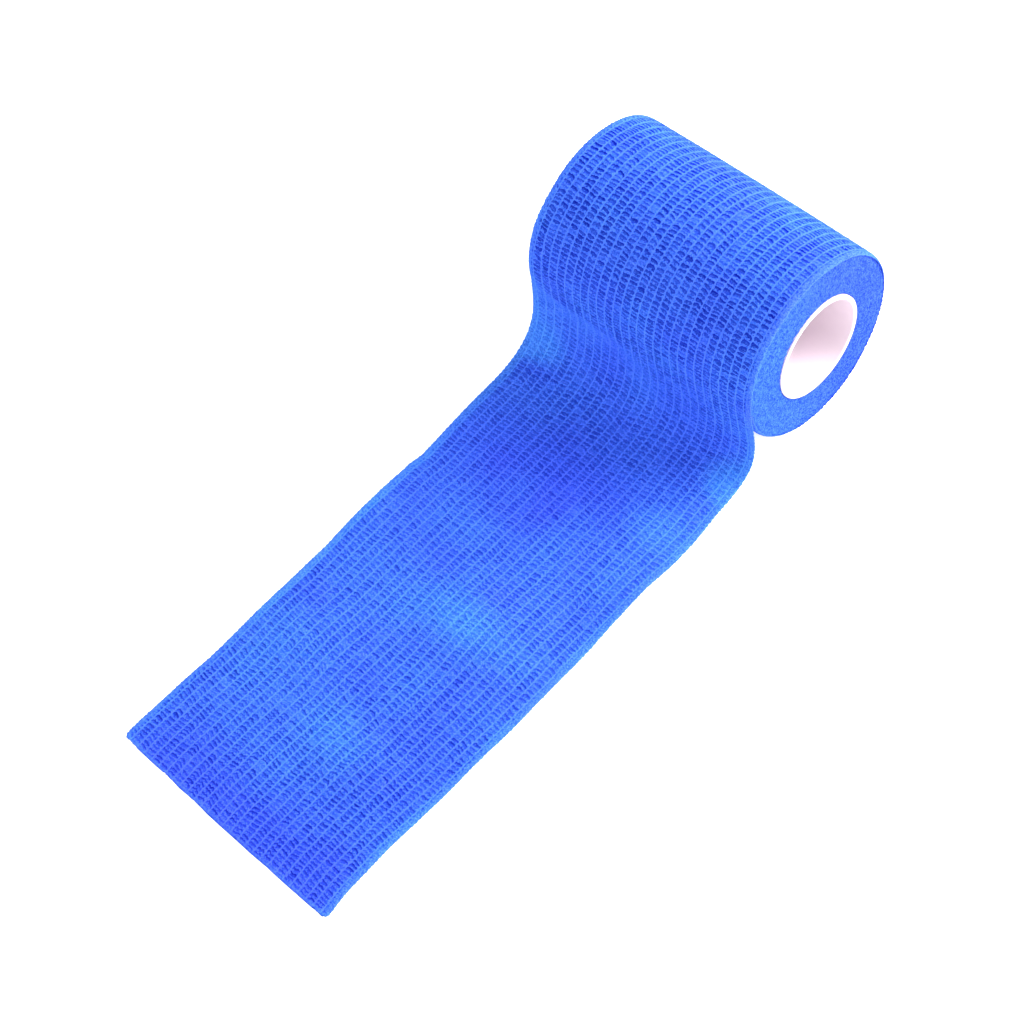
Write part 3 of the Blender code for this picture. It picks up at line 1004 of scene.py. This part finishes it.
def make_white_plastic():
    material = bpy.data.materials.new("white_plastic")
    material.use_nodes = True
    tree = material.node_tree
    shader = tree.nodes["Principled BSDF"]
    shader.inputs["Roughness"].default_value = PLASTIC_ROUGHNESS
    place = tree.nodes.new("ShaderNodeTexCoord").outputs["Object"]
    clouds = add_node(
        tree, "ShaderNodeTexNoise", Vector=place, Scale=SHADE_FINENESS, Detail=2.0,
    ).outputs[0]
    colour = blend(tree, clouds, *PLASTIC_SHADES)
    lines = add_node(tree, "ShaderNodeMapping", Vector=place, Scale=DRAWN_STRETCH).outputs[0]
    drawn = add_node(
        tree, "ShaderNodeTexNoise", Vector=lines, Scale=DRAWN_FINENESS, Detail=2.0,
    ).outputs[0]
    bump = add_node(tree, "ShaderNodeBump", Height=drawn, **DRAWN_BUMP).outputs[0]
    tree.links.new(colour, shader.inputs["Base Color"])
    tree.links.new(bump, shader.inputs["Normal"])
    return material


core_tube = make_core_tube()
core_tube.data.materials.append(make_white_plastic())
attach(core_tube, "root")
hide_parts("core_tube")

# ------------------------------------------------------------------------------------------------
# Floor, light and camera: a pale studio floor that glows a little, an even white sky, a large
# soft light on the camera's right and a weak low one on its left. The camera looks down on the
# roll's end from beside the loose cloth, as the photograph does.
# ------------------------------------------------------------------------------------------------

FLOOR_HALF = 2.0
FLOOR_WHITE = (0.9, 0.9, 0.9, 1.0)
FLOOR_ROUGHNESS = 0.9
FLOOR_SPECULAR = 0.1
FLOOR_GLOW = 0.75
WHITE = (1.0, 1.0, 1.0, 1.0)
SKY_STRENGTH = 1.17

LIGHT_COLUMNS = ("name", "place", "towards", "size", "power")
LIGHTS = (
    ("key", (0.540, 0.610, 0.470), (0.0, -0.06, 0.0), 0.60, 22.5),
    ("front", (-0.55, -0.90, 0.22), (0.0, -0.03, 0.02), 0.36, 3.0),
)

CAMERA_AZIMUTH = math.radians(52.67)
CAMERA_ELEVATION = math.radians(56.52)
CAMERA_ROLL = math.radians(-13.03)
CAMERA_DISTANCE = 1.0540
CAMERA_TARGET = Vector((-0.00608, -0.07389, 0.0))
CAMERA_RANGE = (0.01, 20.0)
LENS = 143.9
SENSOR_WIDTH = 36.0


def make_floor():
    mesh = bpy.data.meshes.new("floor")
    signs = [(-1, -1), (1, -1), (1, 1), (-1, 1)]
    corners = [(FLOOR_HALF * x, FLOOR_HALF * y, 0.0) for x, y in signs]
    mesh.from_pydata(corners, [], [range(4)])
    floor = bpy.data.objects.new("floor", mesh)
    bpy.context.scene.collection.objects.link(floor)
    material = bpy.data.materials.new("pale_floor")
    material.use_nodes = True
    shader = material.node_tree.nodes["Principled BSDF"]
    shader.inputs["Base Color"].default_value = FLOOR_WHITE
    shader.inputs["Roughness"].default_value = FLOOR_ROUGHNESS
    shader.inputs["Specular IOR Level"].default_value = FLOOR_SPECULAR
    shader.inputs["Emission Color"].default_value = WHITE
    shader.inputs["Emission Strength"].default_value = FLOOR_GLOW
    mesh.materials.append(material)


def add_light(name, place, towards, size, power):
    """A square soft light that shines from a place towards a point."""
    light = bpy.data.lights.new(name, "AREA")
    light.size = size
    light.energy = power
    lamp = bpy.data.objects.new(name, light)
    lamp.location = place
    lamp.rotation_euler = (Vector(towards) - Vector(place)).to_track_quat("-Z", "Y").to_euler()
    bpy.context.scene.collection.objects.link(lamp)


def make_light():
    world = bpy.data.worlds.new("studio")
    world.use_nodes = True
    sky = world.node_tree.nodes["Background"]
    sky.inputs["Color"].default_value = WHITE
    sky.inputs["Strength"].default_value = SKY_STRENGTH
    bpy.context.scene.world = world
    for light in named_rows(LIGHT_COLUMNS, LIGHTS):
        add_light(**light)


def make_camera():
    """The camera, turned about its own line of sight after it is aimed at its target."""
    data = bpy.data.cameras.new("camera")
    data.lens = LENS
    data.sensor_width = SENSOR_WIDTH
    data.clip_start, data.clip_end = CAMERA_RANGE
    az, el, roll = CAMERA_AZIMUTH, CAMERA_ELEVATION, CAMERA_ROLL
    back = Vector((math.sin(az) * math.cos(el), -math.cos(az) * math.cos(el), math.sin(el)))
    right = Vector((math.cos(az), math.sin(az), 0.0))
    up = back.cross(right)
    rolled_right = math.cos(roll) * right + math.sin(roll) * up
    rolled_up = math.cos(roll) * up - math.sin(roll) * right
    camera = bpy.data.objects.new("camera", data)
    turn = Matrix((rolled_right, rolled_up, back)).transposed().to_4x4()
    camera.matrix_world = Matrix.Translation(CAMERA_TARGET + CAMERA_DISTANCE * back) @ turn
    bpy.context.scene.collection.objects.link(camera)
    bpy.context.scene.camera = camera


make_floor()
make_light()
make_camera()
bpy.context.scene.view_settings.view_transform = "Standard"
